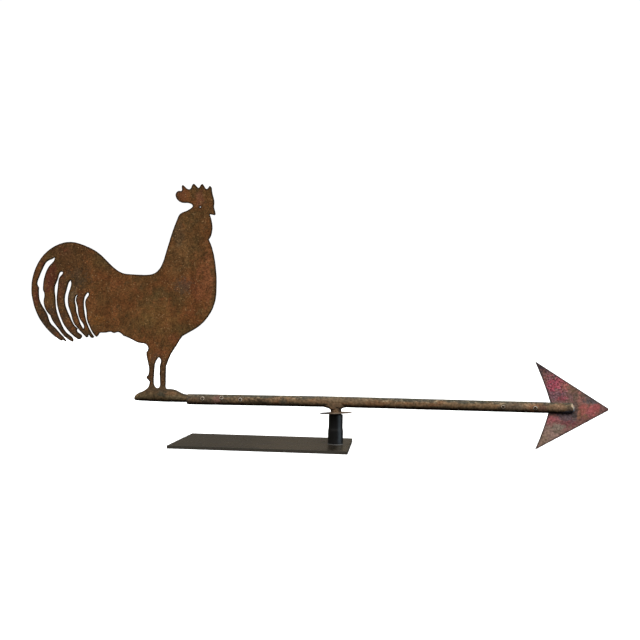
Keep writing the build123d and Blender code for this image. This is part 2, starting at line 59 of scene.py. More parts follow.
# ---------- places and sizes read from the frame ----------
PIPE_LOW, PIPE_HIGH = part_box("arrow_pipe")
CORE_LOW, CORE_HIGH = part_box("arrow_core")
HEAD_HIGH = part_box("arrowhead")[1]
BIRD_LOW, BIRD_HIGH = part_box("rooster")
FOOT_LOW, FOOT_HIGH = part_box("foot_block")
PLATE_LOW, PLATE_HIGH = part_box("base_plate")
POST_LOW, POST_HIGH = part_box("post_tube")
SHIELD_LOW, SHIELD_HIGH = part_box("rain_shield")
BUSH_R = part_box("upper_bush")[1].x
AXIS_Z = (CORE_LOW.z + CORE_HIGH.z) / 2
PIPE_R = PIPE_HIGH.y
BORE_R = CORE_HIGH.y
DROOP = (AXIS_Z - PIPE_R - PIPE_LOW.z) / -PIPE_LOW.x      # slope of the pipe's cockerel end


# ---------- camera ----------
def add_camera():
    """Camera a little above the pipe, in front of the object and turned slightly to the left."""
    place = Vector((0.1062, -1.6351, 0.22325))
    look = Vector((-0.087, 0.996, 0.0216))
    roll = radians(1.2016)
    data = bpy.data.cameras.new("camera")
    data.lens = 45
    data.sensor_width = 36
    camera = bpy.data.objects.new("camera", data)
    turn = look.to_track_quat("-Z", "Y").to_matrix().to_4x4()
    camera.matrix_world = Matrix.Translation(place) @ turn @ Matrix.Rotation(roll, 4, "Z")
    bpy.context.scene.collection.objects.link(camera)
    bpy.context.scene.camera = camera


add_camera()


# ---------- node helpers ----------
class Nodes:
    """An emptied node tree, with short calls to make its nodes and join them."""

    def __init__(self, tree):
        self.tree = tree
        self.tree.nodes.clear()

    def node(self, kind, **settings):
        made = self.tree.nodes.new(kind)
        for key, value in settings.items():
            setattr(made, key, value)
        return made

    def feed(self, socket, value):
        """Join a socket to another node's output, or set it to a number or a colour."""
        if isinstance(value, bpy.types.NodeSocket):
            self.tree.links.new(value, socket)
        elif hasattr(value, "__len__") and len(value) == 3 and len(socket.default_value) == 4:
            socket.default_value = (*value, 1.0)
        else:
            socket.default_value = value

    def fill(self, made, **values):
        """Feed a node's inputs by name, with _ for a space."""
        for name, value in values.items():
            self.feed(made.inputs[name.replace("_", " ")], value)

    def ramp(self, value, *stops):
        """Colour by value, from (value, colour) stops."""
        made = self.node("ShaderNodeValToRGB")
        self.feed(made.inputs[0], value)
        points = made.color_ramp.elements
        while len(points) < len(stops):
            points.new(0.5)
        for point, (at, colour) in zip(points, stops):
            point.position = at
            point.color = (*colour, 1.0)
        return made.outputs[0]


class Finish(Nodes):
    """A material's node tree, with short calls for what the finishes share."""

    def __init__(self, name, metallic=0.0, specular=0.5, gloss_tint=(1, 1, 1)):
        self.material = bpy.data.materials.new(name)
        self.material.use_nodes = True
        super().__init__(self.material.node_tree)
        self.shader = self.node("ShaderNodeBsdfPrincipled")
        self.fill(self.node("ShaderNodeOutputMaterial"), Surface=self.shader.outputs[0])
        self.fill(self.shader, Metallic=metallic, Specular_IOR_Level=specular, Specular_Tint=gloss_tint)
        self.place = self.node("ShaderNodeTexCoord").outputs["Object"]
        self.shape = self.node("ShaderNodeNewGeometry")

    def vector(self, operation, first, second=(0, 0, 0)):
        made = self.node("ShaderNodeVectorMath", operation=operation)
        self.feed(made.inputs[0], first)
        self.feed(made.inputs[1], second)
        return made.outputs["Value"] if operation in ("LENGTH", "DOT_PRODUCT") else made.outputs["Vector"]

    def sums(self, operation, first, second=0.0):
        made = self.node("ShaderNodeMath", operation=operation)
        self.feed(made.inputs[0], first)
        self.feed(made.inputs[1], second)
        return made.outputs[0]

    def times(self, *values):
        """Product of two or more values."""
        product = values[0]
        for value in values[1:]:
            product = self.sums("MULTIPLY", product, value)
        return product

    def cloud(self, size, detail=5.0, rough=0.55, stretch=(1, 1, 1), shift=0.0, swirl=0.0):
        """Noise from 0 to 1 with blotches about size millimetres across."""
        at = self.vector("MULTIPLY", self.place, tuple(1 / (size * MM * part) for part in stretch))
        at = self.vector("ADD", at, (shift, shift * 0.7, shift * 1.3))
        made = self.node("ShaderNodeTexNoise")
        self.fill(made, Vector=at, Scale=1.0, Detail=detail, Roughness=rough, Distortion=swirl)
        return made.outputs["Fac"]

    def cells(self, size, shift=0.0):
        """Distance to the nearest of scattered points about size millimetres apart."""
        at = self.vector("ADD", self.vector("MULTIPLY", self.place, (1 / (size * MM),) * 3), (shift,) * 3)
        made = self.node("ShaderNodeTexVoronoi")
        self.fill(made, Vector=at, Scale=1.0)
        return made.outputs["Distance"]

    def step(self, value, low, high, bottom=0.0, top=1.0):
        """Smooth rise from bottom to top as value goes from low to high."""
        made = self.node("ShaderNodeMapRange", interpolation_type="SMOOTHSTEP")
        self.fill(made, Value=value, From_Min=low, From_Max=high, To_Min=bottom, To_Max=top)
        return made.outputs["Result"]

    def uneven(self, size, low, high, detail=5.0):
        """Roughness that drifts between low and high in blotches about size millimetres across."""
        return self.step(self.cloud(size, detail, 0.6, shift=3), 0.3, 0.7, low, high)

    def veins(self, value, inner, outer):
        """Thin wandering lines along which a noise value crosses its middle."""
        off = self.sums("ABSOLUTE", self.sums("SUBTRACT", value, 0.5))
        return self.step(off, outer, inner)

    def attribute(self, name):
        """Number from 0 to 1 that a mesh carries at its points."""
        return self.node("ShaderNodeAttribute", attribute_name=name).outputs["Fac"]

    def mix(self, share, first, second):
        made = self.node("ShaderNodeMix", data_type="RGBA")
        self.feed(made.inputs[0], share)
        self.feed(made.inputs[6], first)
        self.feed(made.inputs[7], second)
        return made.outputs[2]

    def shade(self, colour, value, darkest, lightest, low=0.34, high=0.66):
        """Colour made darker or lighter as value goes from low to high."""
        amount = self.step(value, low, high, darkest, lightest)
        made = self.node("ShaderNodeVectorMath", operation="SCALE")
        self.feed(made.inputs[0], colour)
        self.feed(made.inputs["Scale"], amount)
        return made.outputs["Vector"]

    def patch(self, centre, spread, ragged=0.5, grain=9.0, shift=0.0):
        """Ragged spot, 1 at its centre and 0 outside: centre (x, z) in metres, spread in millimetres."""
        at = self.vector("SUBTRACT", self.place, (centre[0], 0, centre[1]))
        at = self.vector("MULTIPLY", at, (1 / (spread[0] * MM), 0, 1 / (spread[1] * MM)))
        torn = self.step(self.cloud(grain, 6, 0.7, shift=shift), 0.3, 0.7, -ragged, ragged)
        reach = self.sums("ADD", self.vector("LENGTH", at), torn)
        return self.step(reach, 1.3, 0.45)

    def patches(self, colour, spots):
        """Lay ragged spots over a colour: spots are (centre, spread, ragged, grain, strength, tint)."""
        for order, (centre, spread, ragged, grain, strength, tint) in enumerate(spots):
            share = self.times(self.patch(centre, spread, ragged, grain, 3.1 * order), strength)
            colour = self.mix(share, colour, tint)
        return colour

    def facing(self, axis):
        """How far the surface faces along an axis, from -1 to 1."""
        return self.vector("DOT_PRODUCT", self.shape.outputs["Normal"], axis)

    def underside(self):
        """How far the surface faces down, from about -1 to 1, with a torn edge."""
        torn = self.step(self.cloud(9, 5, 0.6, shift=3), 0, 1, -0.25, 0.25)
        return self.sums("ADD", self.facing((0, 0.1, -1)), torn)

    def bump(self, height, depth):
        """Raise and sink the surface by up to depth millimetres."""
        made = self.node("ShaderNodeBump")
        self.fill(made, Strength=1.0, Distance=depth * MM, Height=height)
        if self.shader.inputs["Normal"].is_linked:
            self.feed(made.inputs["Normal"], self.shader.inputs["Normal"].links[0].from_socket)
        self.feed(self.shader.inputs["Normal"], made.outputs[0])

    def done(self, colour, roughness):
        self.fill(self.shader, Base_Color=colour, Roughness=roughness)
        return self.material


def from_tip(back, height):
    """(x, z) at so many millimetres back from the arrow's tip and over the pipe's axis."""
    return HEAD_HIGH.x - back * MM, AXIS_Z + height * MM


def on_pipe(along, up, start=0.0):
    """(x, z) at so many millimetres along the pipe, from a start on it, and over its axis."""
    return start + along * MM, AXIS_Z + up * MM


def on_bird(along, up):
    """(x, z) at a share of the cockerel's length, from its tail, and of its height, from its feet."""
    return (BIRD_LOW.x + along * (BIRD_HIGH.x - BIRD_LOW.x), BIRD_LOW.z + up * (BIRD_HIGH.z - BIRD_LOW.z))


# ---------- finishes ----------
def rooster_rust():
    """Even brown rust with fine mottling, slow drifts of hue, worn tan flecks, and a band of painted shade
    along the cut edge.
    """
    f = Finish("rooster_rust", specular=0.06)
    drift = f.cloud(70, 3, 0.5)
    colour = f.ramp(drift, (0.32, (0.084, 0.05, 0.018)), (0.46, (0.102, 0.047, 0.016)),
                    (0.58, (0.122, 0.048, 0.016)), (0.7, (0.136, 0.046, 0.018)))
    hue = f.cloud(11, 5, 0.65, shift=31)
    colour = f.mix(f.step(hue, 0.52, 0.68, 0.0, 0.6), colour, (0.15, 0.052, 0.018))
    colour = f.mix(f.step(hue, 0.46, 0.32, 0.0, 0.6), colour, (0.066, 0.042, 0.018))
    maroon = (0.088, 0.024, 0.014)
    murky = (0.046, 0.032, 0.02)
    colour = f.patches(colour, (
        (on_bird(0.1, 0.56), (20, 32), 0.6, 12, 0.85, maroon),
        (on_bird(0.173, 0.68), (22, 15), 0.5, 12, 0.65, maroon),
        (on_bird(0.026, 0.46), (9, 18), 0.5, 10, 0.7, maroon),
        (on_bird(0.158, 0.5), (12, 30), 0.5, 10, 0.5, maroon),
        (on_bird(0.266, 0.44), (8, 24), 0.5, 9, 0.6, (0.12, 0.04, 0.018)),
        (on_bird(0.255, 0.555), (24, 22), 0.9, 9, 0.62, murky),
        (on_bird(0.235, 0.47), (10, 14), 0.8, 7, 0.5, (0.125, 0.088, 0.05)),
        (on_bird(0.08, 0.33), (44, 40), 0.6, 14, 0.7, murky),
        (on_bird(0.21, 0.65), (58, 30), 0.7, 16, 0.75, (0.07, 0.036, 0.014)),
        (on_bird(0.8, 0.68), (34, 46), 0.7, 16, 0.5, (0.13, 0.06, 0.022)),
        (on_bird(0.24, 0.285), (52, 18), 0.7, 10, 0.6, murky),
        (on_bird(0.367, 0.357), (15, 9), 0.6, 8, 0.65, (0.19, 0.075, 0.02)),
        (on_bird(0.825, 0.519), (18, 15), 0.9, 7, 0.5, (0.064, 0.05, 0.036)),
        (on_bird(0.942, 0.56), (17, 56), 0.6, 16, 0.75, (0.175, 0.062, 0.025)),
        (on_bird(0.81, 0.27), (26, 11), 0.6, 10, 0.55, (0.128, 0.042, 0.018)),
        (on_bird(0.68, 0.37), (44, 26), 0.6, 16, 0.5, (0.13, 0.07, 0.022)),
        (on_bird(0.79, 0.76), (14, 30), 0.6, 14, 0.5, (0.066, 0.046, 0.024)),
        (on_bird(0.899, 0.93), (9, 18), 0.5, 8, 0.65, (0.15, 0.056, 0.03)),
        (on_bird(0.8, 0.95), (13, 9), 0.5, 8, 0.55, (0.13, 0.052, 0.022)),
        (on_bird(0.7, 0.11), (34, 42), 0.6, 10, 0.8, (0.06, 0.035, 0.018)),
    ))
    colour = f.shade(colour, f.cloud(28, 4, 0.6, shift=27), 0.86, 1.14)
    colour = f.shade(colour, f.cloud(6.5, 6, 0.65), 0.8, 1.2)
    colour = f.shade(colour, f.cloud(2.6, 4, 0.6, shift=2), 0.62, 1.4)
    streaks = f.cloud(9, 4, 0.6, stretch=(1, 1, 6), shift=8)
    colour = f.shade(colour, streaks, 0.88, 1.1, 0.3, 0.7)
    flecks = f.times(f.step(f.cells(5.2), 0.3, 0.12), f.step(f.cloud(14, 3, shift=11), 0.47, 0.57))
    colour = f.mix(f.times(flecks, 0.85), colour, (0.27, 0.155, 0.07))
    pits = f.times(f.step(f.cells(3.6, shift=4), 0.3, 0.12), f.step(f.cloud(20, 3, shift=14), 0.42, 0.58))
    colour = f.mix(f.times(pits, 0.6), colour, (0.032, 0.018, 0.009))
    # Painted shade: a dark band along the sheet's edges, by the rim attribute.
    colour = f.mix(f.step(f.attribute("rim"), 0.0, 0.62, 0.0, 0.9), colour, (0.017, 0.011, 0.006))
    f.bump(f.cloud(5, 8, 0.7), 0.5)
    f.bump(pits, -0.25)
    f.bump(f.cloud(1.1, 3, 0.5, shift=6), 0.12)
    return f.done(colour, f.uneven(6, 0.65, 0.9))


def arrow_paint():
    """What is left of red paint on weathered plate: crimson flakes, pink haze, olive smears, a band of
    painted shade along the edges, and a painted shadow under the pipe.
    """
    f = Finish("arrow_paint", specular=0.12)
    colour = f.ramp(f.cloud(16, 6, 0.65), (0.34, (0.115, 0.076, 0.055)), (0.48, (0.17, 0.095, 0.075)),
                    (0.62, (0.22, 0.095, 0.078)))
    colour = f.patches(colour, (
        (from_tip(122, -54), (38, 32), 0.35, 12, 0.92, (0.25, 0.16, 0.128)),
        (from_tip(127, -62), (16, 16), 0.7, 8, 0.6, (0.225, 0.155, 0.1)),
        (from_tip(98, -38), (17, 6), 0.6, 6, 0.8, (0.19, 0.155, 0.12)),
        (from_tip(100, -47), (8, 4), 0.6, 5, 0.7, (0.12, 0.095, 0.065)),
        (from_tip(118, -31), (11, 7), 0.7, 6, 0.75, (0.265, 0.11, 0.1)),
        (from_tip(111, -21), (17, 9), 0.5, 7, 0.9, (0.3, 0.085, 0.09)),
        (from_tip(78, -28), (20, 9), 0.7, 7, 0.85, (0.175, 0.054, 0.06)),
        (from_tip(80, -17), (21, 9), 0.6, 7, 0.85, (0.105, 0.078, 0.09)),
        (from_tip(79, -42), (10, 3), 0.7, 5, 0.6, (0.26, 0.105, 0.1)),
        (from_tip(46, -20), (19, 7), 0.7, 6, 0.8, (0.15, 0.058, 0.05)),
        (from_tip(53, -8), (12, 14), 0.7, 7, 0.75, (0.19, 0.096, 0.052)),
        (from_tip(56, 21), (12, 17), 0.7, 7, 0.85, (0.27, 0.11, 0.09)),
        (from_tip(36, -2), (23, 12), 0.6, 8, 0.85, (0.3, 0.084, 0.074)),
        (from_tip(24, 4), (9, 6), 0.7, 5, 0.7, (0.38, 0.085, 0.09)),
        (from_tip(34, -8), (9, 10), 0.7, 5, 0.55, (0.36, 0.088, 0.1)),
        (from_tip(33, 18), (15, 8), 0.6, 6, 0.9, (0.078, 0.068, 0.07)),
        (from_tip(46, 27), (12, 6), 0.7, 6, 0.75, (0.105, 0.078, 0.06)),
        (from_tip(8, 1), (10, 9), 0.6, 5, 0.75, (0.16, 0.078, 0.072)),
        (from_tip(66, 26), (7, 21), 0.6, 7, 0.8, (0.105, 0.078, 0.054)),
        (from_tip(65, -5), (6, 19), 0.6, 6, 0.85, (0.056, 0.048, 0.046)),
        (from_tip(73, 42), (13, 12), 0.6, 7, 0.8, (0.16, 0.094, 0.062)),
        (from_tip(126, 61), (8, 17), 0.6, 7, 0.85, (0.225, 0.1, 0.078)),
        (from_tip(116, 42), (12, 17), 0.6, 6, 0.85, (0.145, 0.046, 0.058)),
        (from_tip(100, 49), (19, 19), 0.5, 7, 0.95, (0.375, 0.062, 0.09)),
        (from_tip(86, 44), (9, 14), 0.6, 6, 0.85, (0.34, 0.112, 0.084)),
        (from_tip(100, 25), (25, 11), 0.6, 7, 0.88, (0.125, 0.072, 0.08)),
        (from_tip(90, 19), (12, 5), 0.7, 5, 0.75, (0.28, 0.055, 0.065)),
        (from_tip(134, 82), (19, 15), 0.5, 6, 0.95, (0.046, 0.03, 0.034)),
    ))
    flaky = f.patch(from_tip(104, 46), (34, 42), 0.4, 12, 4)
    wander = f.veins(f.cloud(8.5, 2, 0.5, swirl=1.6, shift=2), 0.018, 0.05)
    dots = f.step(f.cells(5.2, shift=8), 0.36, 0.2)
    worms = f.sums("MAXIMUM", wander, dots)
    colour = f.mix(f.times(worms, flaky, 0.92), colour, (0.03, 0.011, 0.018))
    lilac = f.veins(f.cloud(7, 3, 0.5, swirl=1.5, shift=23), 0.01, 0.04)
    colour = f.mix(f.times(lilac, flaky, 0.6), colour, (0.42, 0.19, 0.23))
    chips = f.step(f.cloud(6, 6, 0.7, shift=9), 0.53, 0.62)
    colour = f.mix(f.times(chips, 0.45), colour, (0.105, 0.07, 0.056))
    pale = f.step(f.cloud(3.2, 4, 0.7, shift=17), 0.6, 0.7)
    colour = f.mix(f.times(pale, 0.45), colour, (0.35, 0.25, 0.21))
    near_slate = f.patch(from_tip(33, 18), (14, 8), 0.4, 6, 2)
    flash = f.times(f.step(f.cells(4.6, shift=5), 0.26, 0.12), near_slate)
    colour = f.mix(f.times(flash, 0.8), colour, (0.4, 0.4, 0.45))
    colour = f.shade(colour, f.cloud(5, 5, 0.65, shift=13), 0.72, 1.34)
    colour = f.shade(colour, f.cloud(2.5, 3, 0.6, shift=33), 0.82, 1.2)
    # Painted shadow: a thin near-black band on the plate just under the pipe.
    pipe_shadow = f.patch(from_tip(103, -10), (32, 3.5), 0.3, 5, 8)
    colour = f.mix(f.times(pipe_shadow, 0.7), colour, (0.016, 0.014, 0.02))
    # Painted shade: a dark band along the plate's edges, by the rim attribute.
    colour = f.mix(f.step(f.attribute("rim"), 0.0, 0.7, 0.0, 0.85), colour, (0.036, 0.024, 0.024))
    f.bump(f.sums("ADD", f.times(worms, -0.6), f.cloud(4, 6, 0.6)), 0.35)
    f.bump(f.cloud(1.2, 3, 0.5, shift=6), 0.08)
    return f.done(colour, f.uneven(7, 0.55, 0.85))


def pipe_patina():
    """Old pipe: tan and brown rust in front, grey-green on top, painted shade that makes it black below, with
    red at the arrow's end.
    """
    f = Finish("pipe_patina", specular=0.1)
    long_blotch = f.cloud(15, 6, 0.65, stretch=(2.0, 1, 1))
    colour = f.ramp(long_blotch, (0.33, (0.06, 0.046, 0.026)), (0.45, (0.108, 0.072, 0.04)),
                    (0.56, (0.142, 0.086, 0.044)), (0.7, (0.17, 0.118, 0.07)))
    rusty = f.step(f.cloud(24, 4, 0.6, stretch=(1.8, 1, 1), shift=6), 0.52, 0.64)
    colour = f.mix(f.times(rusty, 0.55), colour, (0.165, 0.074, 0.032))
    torn = f.step(f.cloud(12, 5, 0.6, stretch=(3, 1, 1), shift=9), 0, 1, -0.4, 0.4)
    up = f.sums("ADD", f.facing((0, -0.25, 0.97)), torn)
    colour = f.mix(f.step(up, 0.55, 0.95, 0.0, 0.9), colour, (0.042, 0.042, 0.032))
    # Pale flecks kept to the faces turned up and forwards, towards the lamps: partly worn flecks, partly
    # painted highlight.
    lit_face_zone = f.step(f.facing((0, -0.75, 0.66)), 0.8, 0.98)
    pale = f.times(f.step(f.cloud(5, 6, 0.7, stretch=(2, 1, 1), shift=12), 0.52, 0.64), lit_face_zone)
    colour = f.mix(f.times(pale, 0.7), colour, (0.3, 0.225, 0.14))
    # Painted shade: the faces turned down go near black.
    low = f.underside()
    colour = f.mix(f.step(low, 0.02, 0.7, 0.0, 0.93), colour, (0.012, 0.008, 0.005))
    colour = f.patches(colour, (
        (on_pipe(-270, -2), (52, 10), 0.6, 7, 0.75, (0.064, 0.047, 0.032)),
        (on_pipe(-245.5, -1), (9, 8), 0.5, 5, 0.7, (0.17, 0.088, 0.07)),
        (on_pipe(-30, 2, PIPE_HIGH.x), (13, 6), 0.6, 5, 0.8, (0.23, 0.118, 0.068)),
        (on_pipe(-163, -4), (27, 6), 0.6, 6, 0.85, (0.036, 0.026, 0.015)),
        (on_pipe(-108, -3), (8, 9), 0.5, 5, 0.75, (0.044, 0.04, 0.028)),
        (on_pipe(15, 5), (62, 6), 0.6, 8, 0.7, (0.12, 0.08, 0.046)),
        (on_pipe(356, 0), (24, 9), 0.6, 6, 0.75, (0.105, 0.078, 0.054)),
        (on_pipe(393, 0), (9, 8), 0.6, 5, 0.65, (0.2, 0.082, 0.04)),
        (on_pipe(382, 3), (9, 6), 0.6, 5, 0.6, (0.23, 0.14, 0.08)),
        (on_pipe(412, -1), (9, 7), 0.6, 5, 0.65, (0.125, 0.058, 0.044)),
        (on_pipe(440, 1), (20, 7), 0.5, 6, 0.6, (0.165, 0.105, 0.062)),
        # A small bright cream spot on the rim of the pipe's mouth: partly worn metal, partly painted
        # highlight.
        (on_pipe(-1, 6, PIPE_HIGH.x), (3, 4), 0.6, 3, 0.8, (0.46, 0.35, 0.24)),
        (on_pipe(-7, -2, PIPE_HIGH.x), (6, 6), 0.7, 4, 0.6, (0.075, 0.052, 0.04)),
        (on_pipe(-8, -8, PIPE_HIGH.x), (14, 4), 0.6, 3, 0.85, (0.03, 0.032, 0.045)),
    ))
    colour = f.shade(colour, f.cloud(4.5, 6, 0.65, shift=15), 0.58, 1.42)
    specks = f.times(f.step(f.cells(3.8, shift=7), 0.26, 0.1), f.step(f.cloud(18, 3, shift=19), 0.45, 0.58))
    colour = f.mix(f.times(specks, 0.75), colour, (0.022, 0.015, 0.01))
    f.bump(f.cloud(5, 8, 0.7, stretch=(1.5, 1, 1)), 0.55)
    f.bump(specks, -0.3)
    f.bump(f.cloud(1.2, 3, 0.5, shift=6), 0.12)
    return f.done(colour, f.uneven(8, 0.55, 0.85))


def weld_rust():
    """Lumpy brown weld with orange rust in its folds, and painted shade on the faces turned down and towards
    the arrow.
    """
    f = Finish("weld_rust", specular=0.1)
    colour = f.ramp(f.cloud(5, 6, 0.65), (0.34, (0.058, 0.038, 0.022)), (0.5, (0.108, 0.068, 0.038)),
                    (0.64, (0.16, 0.094, 0.052)))
    # Painted shade: the faces turned down and the faces turned towards the arrow go darker.
    colour = f.mix(f.step(f.facing((0, 0, -1)), 0.35, 0.9, 0.0, 0.8), colour, (0.026, 0.017, 0.012))
    colour = f.mix(f.step(f.facing((1, 0, -0.2)), 0.35, 0.85, 0.0, 0.8), colour, (0.024, 0.016, 0.011))
    colour = f.shade(colour, f.cloud(2.4, 5, 0.65, shift=4), 0.72, 1.28, 0.28, 0.72)
    f.bump(f.cloud(3, 7, 0.7), 0.6)
    return f.done(colour, f.uneven(5, 0.55, 0.85))


def shield_rust():
    """Thin disc, dark on the cockerel's side and tan-brown on the arrow's side."""
    f = Finish("shield_rust", specular=0.15)
    colour = f.ramp(f.cloud(9, 6, 0.65), (0.34, (0.07, 0.048, 0.032)), (0.5, (0.112, 0.08, 0.056)),
                    (0.66, (0.165, 0.126, 0.09)))
    side = f.vector("DOT_PRODUCT", f.place, (1 / SHIELD_HIGH.x, 0, 0))
    side = f.sums("ADD", side, f.step(f.cloud(12, 5, 0.6, shift=8), 0, 1, -0.3, 0.3))
    colour = f.mix(f.step(side, -0.1, -0.5, 0.0, 0.9), colour, (0.022, 0.018, 0.016))
    # Painted shade: the faces turned down go darker.
    colour = f.mix(f.step(f.facing((0, 0, -1)), 0.3, 0.9, 0.0, 0.8), colour, (0.02, 0.014, 0.01))
    colour = f.shade(colour, f.cloud(2.4, 5, 0.65, shift=4), 0.75, 1.25, 0.28, 0.72)
    f.bump(f.cloud(3, 7, 0.7), 0.35)
    return f.done(colour, f.uneven(5, 0.5, 0.8))


def foot_patina():
    """Cast foot: olive-tan with dark brown round the legs, darker on its top and tail end, and painted shade
    that blackens its belly.
    """
    f = Finish("foot_patina", specular=0.1)
    colour = f.ramp(f.cloud(10, 6, 0.65), (0.34, (0.044, 0.03, 0.016)), (0.47, (0.08, 0.052, 0.026)),
                    (0.6, (0.112, 0.072, 0.036)), (0.72, (0.17, 0.118, 0.066)))
    legs = f.step(f.vector("DOT_PRODUCT", f.place, (0, 0, 1)), FOOT_HIGH.z - 0.013, FOOT_HIGH.z - 0.004)
    colour = f.mix(f.times(legs, 0.85), colour, (0.062, 0.036, 0.018))
    colour = f.patches(colour, (
        ((FOOT_LOW.x + 0.06, FOOT_HIGH.z - 0.012), (14, 6), 0.6, 6, 0.8, (0.036, 0.034, 0.024)),
        ((FOOT_LOW.x + 0.08, FOOT_HIGH.z - 0.01), (12, 5), 0.6, 6, 0.6, (0.155, 0.085, 0.042)),
        ((FOOT_LOW.x + 0.088, FOOT_HIGH.z - 0.017), (16, 4), 0.6, 6, 0.6, (0.175, 0.13, 0.072)),
        ((FOOT_LOW.x + 0.02, FOOT_HIGH.z - 0.018), (14, 5), 0.6, 6, 0.5, (0.11, 0.08, 0.042)),
    ))
    # Darker on the faces turned up and on the faces turned towards the tail end.
    darker_top_and_end = (0.028, 0.02, 0.012)
    colour = f.mix(f.step(f.facing((0, 0, 1)), 0.5, 0.9, 0.0, 0.8), colour, darker_top_and_end)
    colour = f.mix(f.step(f.facing((-1, 0, 0)), 0.45, 0.85, 0.0, 0.8), colour, darker_top_and_end)
    # Painted shade: the faces turned down go near black.
    low = f.underside()
    colour = f.mix(f.step(low, 0.15, 0.8, 0.0, 0.92), colour, (0.013, 0.009, 0.006))
    colour = f.shade(colour, f.cloud(4, 6, 0.65, shift=15), 0.66, 1.32)
    pits = f.step(f.cells(3.8, shift=7), 0.28, 0.1)
    colour = f.mix(f.times(pits, 0.5), colour, (0.026, 0.018, 0.011))
    f.bump(f.cloud(5, 8, 0.7), 0.6)
    f.bump(pits, -0.3)
    return f.done(colour, f.uneven(8, 0.6, 0.88))


def plate_black():
    """Brown-black waxed steel plate with faint brushed streaks and dust, its top edges lighter from wear and
    a painted highlight, and its sides painted lighter than its top.
    """
    f = Finish("plate_black", specular=0.33, gloss_tint=(1.0, 0.82, 0.62))
    colour = f.ramp(f.cloud(45, 4, 0.55), (0.3, (0.0095, 0.008, 0.0056)),
                    (0.7, (0.015, 0.0118, 0.008)))
    colour = f.patches(colour, (
        ((PLATE_LOW.x + 0.24, PLATE_HIGH.z), (70, 30), 0.5, 30, 0.6, (0.03, 0.0225, 0.0145)),
        ((PLATE_HIGH.x - 0.01, PLATE_HIGH.z), (14, 30), 0.5, 8, 0.6, (0.048, 0.04, 0.026)),
    ))
    streaks = f.cloud(3, 4, 0.6, stretch=(30, 1, 30), shift=5)
    colour = f.shade(colour, streaks, 0.86, 1.16, 0.3, 0.7)
    middle = (PLATE_LOW + PLATE_HIGH) / 2
    half = (PLATE_HIGH - PLATE_LOW) / 2
    off = f.node("ShaderNodeVectorMath", operation="ABSOLUTE")
    f.feed(off.inputs[0], f.vector("SUBTRACT", f.place, tuple(middle)))
    from_edges = f.vector("SUBTRACT", tuple(half), off.outputs["Vector"])
    parts = f.node("ShaderNodeSeparateXYZ")
    f.feed(parts.inputs[0], from_edges)
    near_side = f.sums("MINIMUM", parts.outputs["X"], parts.outputs["Y"])
    # Lighter band round the top's edges: partly wear, partly a painted highlight along the arris.
    worn = f.sums("ADD", near_side, f.step(f.cloud(8, 5, 0.65, shift=9), 0, 1, -0.8 * MM, 0.8 * MM))
    colour = f.mix(f.step(worn, 1.3 * MM, 0.4 * MM, 0.0, 0.35), colour, (0.06, 0.054, 0.045))
    # Painted light: the sides and underside of the same plate are coloured lighter than its top.
    colour = f.mix(f.step(f.facing((0, 0, 1)), 0.7, 0.3), colour, (0.042, 0.037, 0.03))
    dust = f.step(f.cloud(2.0, 4, 0.7, shift=21), 0.6, 0.72)
    colour = f.mix(f.times(dust, 0.12), colour, (0.09, 0.08, 0.065))
    f.bump(f.cloud(2, 4, 0.6, stretch=(20, 1, 20)), 0.03)
    f.bump(f.cloud(60, 2, 0.5, shift=2), 0.25)
    return f.done(colour, f.uneven(25, 0.22, 0.34))


def post_black():
    """Satin black paint over turned steel, rubbed a little at the step."""
    f = Finish("post_black", specular=0.5)
    colour = f.ramp(f.cloud(18, 4, 0.55), (0.3, (0.004, 0.0043, 0.0045)), (0.7, (0.008, 0.0083, 0.0086)))
    rub = f.times(f.step(f.cloud(3, 6, 0.7, stretch=(1, 1, 0.5), shift=4), 0.6, 0.72), 0.35)
    colour = f.mix(rub, colour, (0.045, 0.042, 0.036))
    f.bump(f.cloud(0.8, 3, 0.5, stretch=(12, 12, 1)), 0.03)
    f.bump(f.cloud(5, 4, 0.6, shift=2), 0.12)
    return f.done(colour, f.uneven(9, 0.3, 0.44))


def bare_metal(name, dark, light, metallic, roughness, grain):
    """Machined metal: turning marks, a slow change of tone, and a little tarnish."""
    f = Finish(name, metallic=metallic, specular=0.5 * metallic)
    colour = f.ramp(f.cloud(grain * 4, 5, 0.6), (0.3, dark), (0.7, light))
    tarnish = f.step(f.cloud(grain * 1.5, 6, 0.7, shift=4), 0.56, 0.7)
    colour = f.mix(f.times(tarnish, 0.4), colour, tuple(0.45 * part for part in dark))
    f.bump(f.cloud(grain * 0.25, 3, 0.5, stretch=(8, 8, 1)), 0.03)
    return f.done(colour, f.uneven(grain, *roughness, detail=4))


def core_metal():
    """Worn bar end: dark brown, with a cream streak that is partly rubbed metal and partly painted highlight,
    and blue-grey below it.
    """
    f = Finish("core_metal", metallic=0.1, specular=0.3)
    colour = f.ramp(f.cloud(4.5, 5, 0.65), (0.36, (0.05, 0.038, 0.032)), (0.5, (0.115, 0.08, 0.058)),
                    (0.62, (0.18, 0.125, 0.085)))
    colour = f.patches(colour, (
        (on_pipe(-3.5, -4.5, CORE_HIGH.x), (2.6, 4.0), 0.4, 3, 0.9, (0.2, 0.24, 0.3)),
        # The cream streak and its bright middle: partly rubbed metal, partly painted highlight.
        (on_pipe(-5, 3, CORE_HIGH.x), (2.8, 4.8), 0.5, 3, 0.9, (0.26, 0.2, 0.15)),
        (on_pipe(-4, 0.5, CORE_HIGH.x), (1.8, 2.4), 0.4, 3, 0.95, (0.43, 0.38, 0.33)),
    ))
    f.bump(f.cloud(2, 5, 0.6), 0.2)
    return f.done(colour, f.uneven(3, 0.4, 0.65, detail=4))


